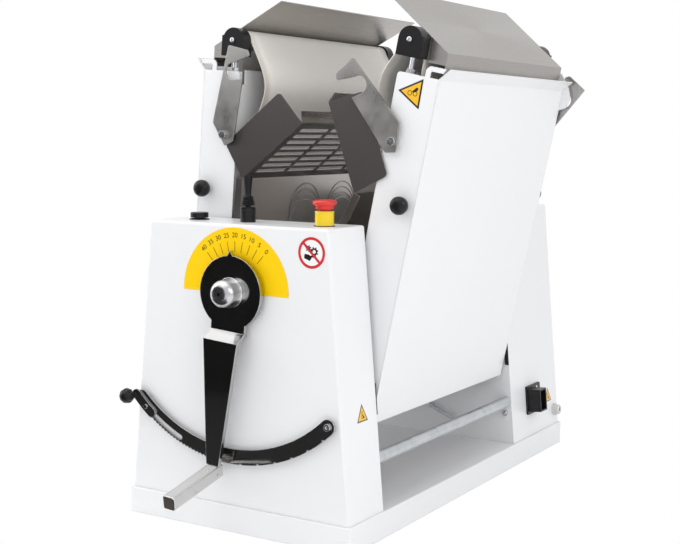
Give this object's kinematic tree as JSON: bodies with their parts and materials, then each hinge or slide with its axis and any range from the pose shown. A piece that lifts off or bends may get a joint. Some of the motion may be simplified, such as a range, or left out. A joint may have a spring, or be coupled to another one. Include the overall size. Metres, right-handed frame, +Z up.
{
  "type": "dough sheeter",
  "caption": "Bench dough sheeter: two driven rollers with a thickness lever and dial between two housings, and folding belt tables with coupled slotted guards.",
  "frame": {"origin": "centre of the plinth's underside", "axes": "+X along the dough's travel, towards the right-hand table seen from the lever; +Y along the rollers from the lever's housing to the motor housing; +Z up"},
  "size_m": [0.5845, 1.042, 0.9018],
  "materials": {
    "white_paint": "semi-gloss powder coat",
    "brushed_stainless": "brushed",
    "polished_steel": "polished",
    "chrome_plate": "polished",
    "galvanised_tube": "galvanised",
    "zinc_sheet": "zinc plated",
    "zinc_fasteners": "zinc plated",
    "spring_steel": "bright wire",
    "bronze_bush": "machined",
    "cast_blocks": "machined",
    "aluminium_tube": "turned",
    "motor_paint": "matt paint",
    "yellow_dial": "satin print",
    "belt_cream": "smooth coated",
    "black_rubber": "matt",
    "black_plastic": "fine texture",
    "yellow_plastic": "gloss",
    "red_plastic": "satin",
    "pale_plastic": "satin"
  },
  "bodies": {
    "frame": {"plinth": "white_paint", "plinth_bottom": "zinc_sheet", "front_housing": "white_paint", "rear_housing": "white_paint", "front_inner_plate": "white_paint", "rear_inner_plate": "white_paint", "cross_tubes": "galvanised_tube", "edge_pads": "black_rubber", "hinge_bushes": "bronze_bush", "transfer_plates": "brushed_stainless", "scraper_spring": "spring_steel", "drive_motor": "motor_paint", "dial_plate": "yellow_dial", "quadrant": "polished_steel", "frame_fasteners": "zinc_fasteners", "estop_base": "yellow_plastic", "joystick_collar": "black_plastic", "power_inlet": "black_plastic", "cable_gland": "pale_plastic"},
    "lever": {"lever": "polished_steel", "lever_handle": "chrome_plate", "lift_shaft": "chrome_plate"},
    "roller_carriage": {"bearing_blocks": "cast_blocks", "upper_scraper": "brushed_stainless"},
    "upper_roller": {"upper_roller": "chrome_plate"},
    "lower_roller": {"lower_roller": "chrome_plate"},
    "quadrant_stop": {"quadrant_stop": "polished_steel", "stop_knob": "black_plastic"},
    "estop_head": {"estop_head": "red_plastic"},
    "joystick": {"joystick": "black_plastic"},
    "button_cap": {"button_cap": "black_plastic"},
    "left_table": {"left_side_plates": "white_paint", "left_panel": "white_paint", "left_slider_bed": "white_paint", "left_belt": "belt_cream", "left_end_bearings": "black_plastic", "left_fasteners": "zinc_fasteners", "left_catch_pan": "brushed_stainless", "left_knobs": "black_plastic"},
    "left_drive_roller": {"left_drive_roller": "polished_steel"},
    "left_end_roller": {"left_end_roller": "aluminium_tube"},
    "left_guard": {"left_guard": "brushed_stainless", "left_guard_shaft": "zinc_fasteners"},
    "left_front_hook": {"left_front_hook": "brushed_stainless"},
    "left_rear_hook": {"left_rear_hook": "brushed_stainless"},
    "right_table": {"right_side_plates": "white_paint", "right_panel": "white_paint", "right_slider_bed": "white_paint", "right_belt": "belt_cream", "right_end_bearings": "black_plastic", "right_fasteners": "zinc_fasteners", "right_catch_pan": "brushed_stainless", "right_knobs": "black_plastic"},
    "right_drive_roller": {"right_drive_roller": "polished_steel"},
    "right_end_roller": {"right_end_roller": "aluminium_tube"},
    "right_guard": {"right_guard": "brushed_stainless", "right_guard_shaft": "zinc_fasteners"},
    "right_front_hook": {"right_front_hook": "brushed_stainless"},
    "right_rear_hook": {"right_rear_hook": "brushed_stainless"}
  },
  "joints": [
    {"name": "lever_turn", "type": "hinge", "parent": "frame", "child": "lever", "pos_m": [0, 0, 0.407], "axis": [0, 1, 0], "range_deg": [-42.2, 35]},
    {"name": "roller_lift", "type": "slide", "parent": "frame", "child": "roller_carriage", "axis": [0, 0, 1], "range_m": [-0.0166, 0.02]},
    {"name": "upper_roller_spin", "type": "hinge", "parent": "roller_carriage", "child": "upper_roller", "pos_m": [0, 0, 0.269], "axis": [0, 1, 0], "continuous": true},
    {"name": "lower_roller_spin", "type": "hinge", "parent": "frame", "child": "lower_roller", "pos_m": [0, 0, 0.189], "axis": [0, 1, 0], "continuous": true},
    {"name": "quadrant_stop_slide", "type": "hinge", "parent": "frame", "child": "quadrant_stop", "pos_m": [0, 0, 0.407], "axis": [0, 1, 0], "range_deg": [-13, 0]},
    {"name": "estop_press", "type": "slide", "parent": "frame", "child": "estop_head", "axis": [0, 0, -1], "range_m": [0, 0.003]},
    {"name": "joystick_tilt", "type": "hinge", "parent": "frame", "child": "joystick", "pos_m": [-0.0139, -0.38975, 0.5325], "axis": [0, 1, 0], "range_deg": [-10, 10], "stiffness_Nm_per_rad": 2},
    {"name": "button_press", "type": "slide", "parent": "frame", "child": "button_cap", "axis": [0, 0, -1], "range_m": [0, 0.003], "stiffness_N_per_m": 800},
    {"name": "left_table_fold", "type": "hinge", "parent": "frame", "child": "left_table", "pos_m": [-0.14, 0, 0.1965], "axis": [0, 1, 0], "range_deg": [-94, 0]},
    {"name": "left_guard_swing", "type": "hinge", "parent": "frame", "child": "left_guard", "pos_m": [-0.083, 0, 0.432], "axis": [0, 1, 0], "range_deg": [-149.9, 0]},
    {"name": "left_drive_roller_spin", "type": "hinge", "parent": "left_table", "child": "left_drive_roller", "pos_m": [-0.14, 0, 0.1965], "axis": [0, 1, 0], "continuous": true},
    {"name": "left_end_roller_spin", "type": "hinge", "parent": "left_table", "child": "left_end_roller", "pos_m": [-0.08752, 0, 0.82588], "axis": [0, 1, 0], "continuous": true},
    {"name": "left_front_hook_swing", "type": "hinge", "parent": "left_table", "child": "left_front_hook", "pos_m": [-0.10423, -0.335, 0.66365], "axis": [0, 1, 0], "range_deg": [0, 40]},
    {"name": "left_rear_hook_swing", "type": "hinge", "parent": "left_table", "child": "left_rear_hook", "pos_m": [-0.10423, 0.204, 0.66365], "axis": [0, 1, 0], "range_deg": [0, 40]},
    {"name": "right_table_fold", "type": "hinge", "parent": "frame", "child": "right_table", "pos_m": [0.14, 0, 0.1965], "axis": [0, 1, 0], "range_deg": [0, 78.4]},
    {"name": "right_guard_swing", "type": "hinge", "parent": "frame", "child": "right_guard", "pos_m": [0.083, 0, 0.432], "axis": [0, 1, 0], "range_deg": [0, 116.7]},
    {"name": "right_drive_roller_spin", "type": "hinge", "parent": "right_table", "child": "right_drive_roller", "pos_m": [0.14, 0, 0.1965], "axis": [0, 1, 0], "continuous": true},
    {"name": "right_end_roller_spin", "type": "hinge", "parent": "right_table", "child": "right_end_roller", "pos_m": [0.25816, 0, 0.81691], "axis": [0, 1, 0], "continuous": true},
    {"name": "right_front_hook_swing", "type": "hinge", "parent": "right_table", "child": "right_front_hook", "pos_m": [0.23078, -0.335, 0.65614], "axis": [0, 1, 0], "range_deg": [0, 40.5]},
    {"name": "right_rear_hook_swing", "type": "hinge", "parent": "right_table", "child": "right_rear_hook", "pos_m": [0.23078, 0.204, 0.65614], "axis": [0, 1, 0], "range_deg": [-39.4, 0]}
  ],
  "couplings": [
    {"joint": "roller_lift", "follows": "lever_turn", "m_per_rad": -0.02715},
    {"joint": "upper_roller_spin", "follows": "lower_roller_spin", "ratio": -1},
    {"joint": "left_guard_swing", "follows": "left_table_fold", "ratio": 1.5941},
    {"joint": "left_drive_roller_spin", "follows": "lower_roller_spin", "ratio": 1.3333},
    {"joint": "left_end_roller_spin", "follows": "lower_roller_spin", "ratio": 1.6216},
    {"joint": "right_guard_swing", "follows": "right_table_fold", "ratio": 1.488},
    {"joint": "right_drive_roller_spin", "follows": "lower_roller_spin", "ratio": 1.3333},
    {"joint": "right_end_roller_spin", "follows": "lower_roller_spin", "ratio": 1.6216}
  ]
}
